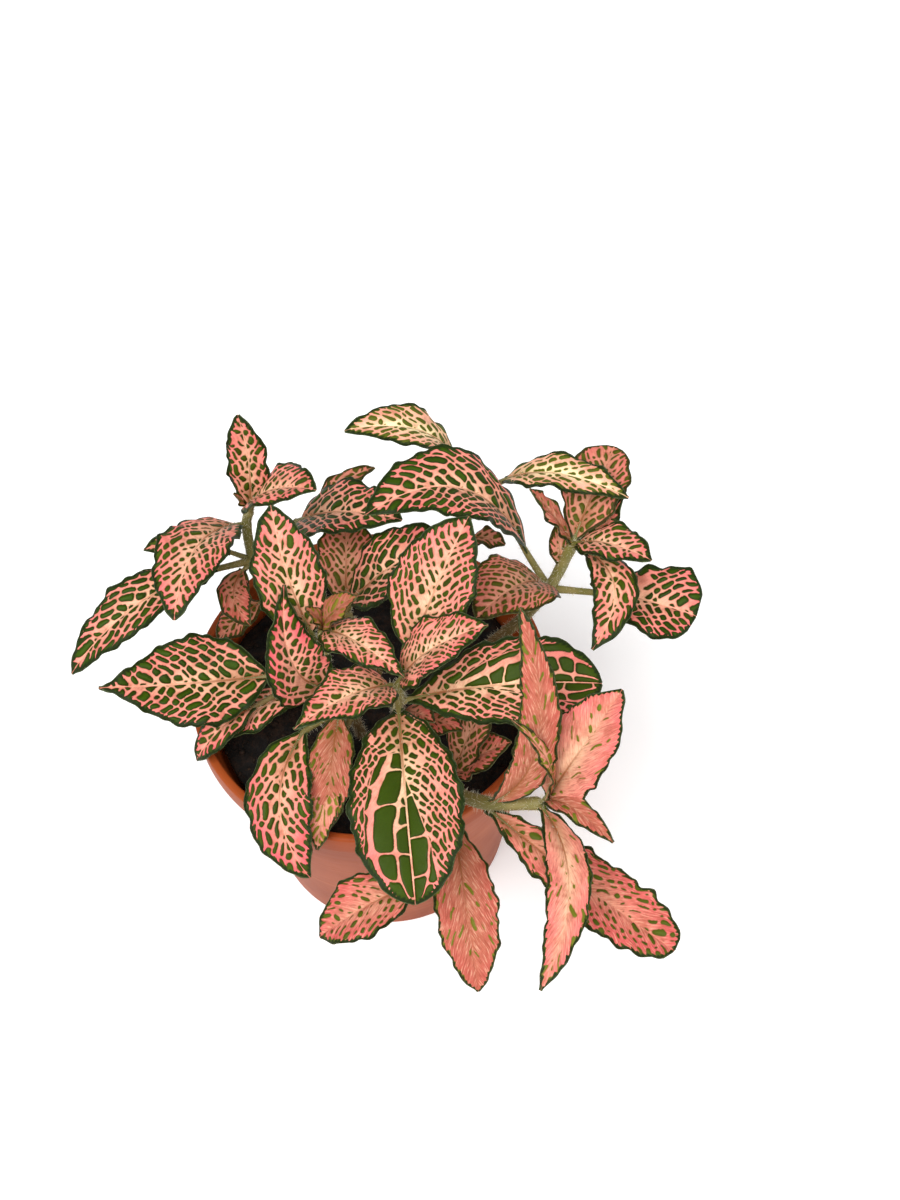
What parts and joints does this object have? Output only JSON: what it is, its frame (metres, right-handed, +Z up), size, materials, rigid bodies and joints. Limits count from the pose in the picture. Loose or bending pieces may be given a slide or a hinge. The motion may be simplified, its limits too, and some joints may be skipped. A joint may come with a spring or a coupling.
{
  "type": "potted nerve plant",
  "caption": "Small pink-leaved nerve plant with dark green leaf margins, growing from soil in a terracotta-coloured plastic nursery pot.",
  "frame": {"origin": "middle of the pot's flat bottom, on the surface it stands on", "axes": "+Z up along the pot's axis; -Y is the side the long front leaves hang over; +X to the right seen from there"},
  "size_m": [0.1008, 0.0978, 0.1004],
  "materials": {
    "pot_plastic": "satin moulded terracotta-coloured polypropylene",
    "potting_soil": "damp dark peat with brown crumbs",
    "leaf_pink": "living leaf, pink net of veins over green cells, dark green margin",
    "leaf_rose": "living leaf, deep rose with few green cells, dark green margin",
    "stem_green": "living stem, olive and brown under pale hairs"
  },
  "bodies": {
    "root": {"pot": "pot_plastic", "soil": "potting_soil", "shoot_back_left": "leaf_pink", "shoot_middle": "leaf_pink", "shoot_crown": "leaf_pink", "shoot_back": "leaf_pink", "shoot_inner_back": "leaf_pink", "shoot_right": "leaf_pink", "shoot_front_right": "leaf_rose", "shoot_back_right": "leaf_pink", "shoot_left": "leaf_pink", "shoot_front_left": "leaf_pink", "shoot_inner_right": "leaf_pink", "shoot_front": "leaf_rose"}
  },
  "joints": []
}
